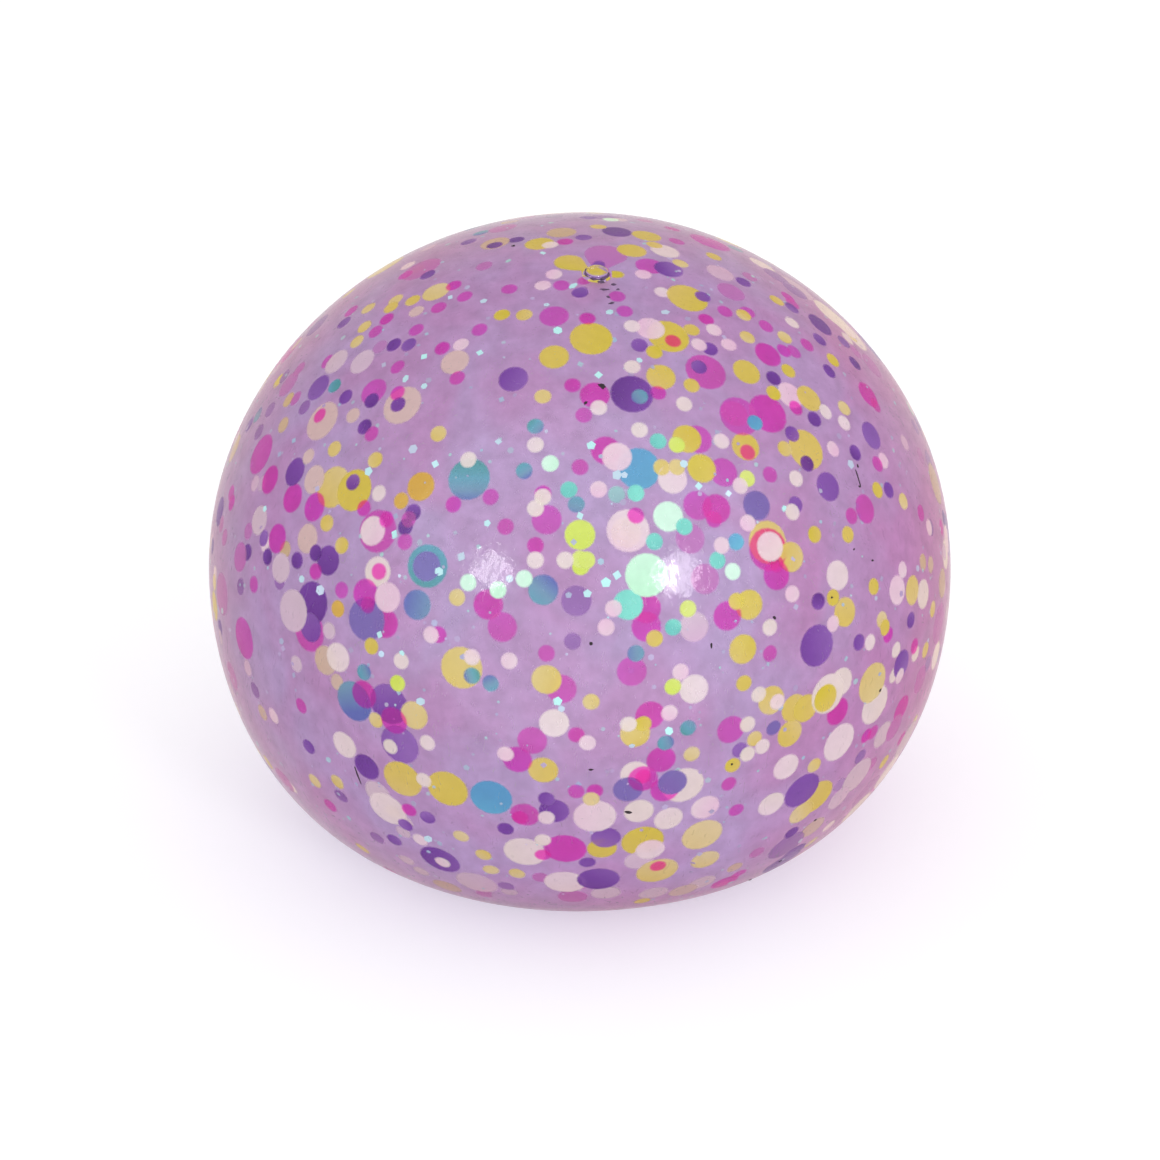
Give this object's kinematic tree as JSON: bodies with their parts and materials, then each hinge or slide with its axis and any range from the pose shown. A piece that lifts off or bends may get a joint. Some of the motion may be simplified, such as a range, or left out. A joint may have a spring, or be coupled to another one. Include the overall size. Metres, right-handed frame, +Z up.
{
  "type": "glitter squeeze ball",
  "caption": "Soft clear ball full of lilac gel and round confetti flakes, sagging on a flat foot, closed by a plug near the top, for squeezing in the hand.",
  "frame": {"origin": "middle of the flat foot that the ball rests on", "axes": "+Z up along the squeeze axis, -Y towards the pictured front, +X to its right"},
  "size_m": [0.073, 0.073, 0.06],
  "materials": {
    "skin": "clear thermoplastic rubber, moulded smooth, glossy and slightly tacky",
    "plug": "clear thermoplastic rubber with grime in the groove round its head",
    "gel": "cloudy lilac gel with fine pale glitter",
    "pearl_film": "punched pearl film with a mint shimmer",
    "yellow_film": "punched yellow film with a lime shimmer",
    "violet_film": "punched violet film with a teal shimmer",
    "magenta_film": "punched see-through magenta film",
    "teal_film": "punched teal film"
  },
  "bodies": {
    "ball": {"skin": "skin", "gel_fill": "gel", "flake_pearl_01": "pearl_film", "flake_pearl_02": "pearl_film", "flake_pearl_03": "pearl_film", "flake_pearl_04": "pearl_film", "flake_pearl_05": "pearl_film", "flake_pearl_06": "pearl_film", "flake_pearl_07": "pearl_film", "flake_pearl_08": "pearl_film", "flake_pearl_09": "pearl_film", "flake_pearl_10": "pearl_film", "flake_pearl_11": "pearl_film", "flake_pearl_12": "pearl_film", "flake_pearl_13": "pearl_film", "flake_pearl_14": "pearl_film", "flake_yellow_01": "yellow_film", "flake_yellow_02": "yellow_film", "flake_yellow_03": "yellow_film", "flake_yellow_04": "yellow_film", "flake_yellow_05": "yellow_film", "flake_yellow_06": "yellow_film", "flake_yellow_07": "yellow_film", "flake_yellow_08": "yellow_film", "flake_yellow_09": "yellow_film", "flake_yellow_10": "yellow_film", "flake_yellow_11": "yellow_film", "flake_yellow_12": "yellow_film", "flake_yellow_13": "yellow_film", "flake_yellow_14": "yellow_film", "flake_violet_01": "violet_film", "flake_violet_02": "violet_film", "flake_violet_03": "violet_film", "flake_violet_04": "violet_film", "flake_violet_05": "violet_film", "flake_violet_06": "violet_film", "flake_violet_07": "violet_film", "flake_violet_08": "violet_film", "flake_violet_09": "violet_film", "flake_violet_10": "violet_film", "flake_violet_11": "violet_film", "flake_violet_12": "violet_film", "flake_magenta_01": "magenta_film", "flake_magenta_02": "magenta_film", "flake_magenta_03": "magenta_film", "flake_magenta_04": "magenta_film", "flake_magenta_05": "magenta_film", "flake_magenta_06": "magenta_film", "flake_magenta_07": "magenta_film", "flake_magenta_08": "magenta_film", "flake_magenta_09": "magenta_film", "flake_magenta_10": "magenta_film", "flake_teal_01": "teal_film", "flake_teal_02": "teal_film", "flake_teal_03": "teal_film", "flake_teal_04": "teal_film", "flake_teal_05": "teal_film", "flake_teal_06": "teal_film"},
    "crown": {"fill_plug": "plug"}
  },
  "joints": [
    {"name": "squeeze", "type": "slide", "parent": "ball", "child": "crown", "axis": [0, 0, -1], "range_m": [0, 0.024], "stiffness_N_per_m": 600, "deforming": ["skin", "gel_fill"]}
  ]
}
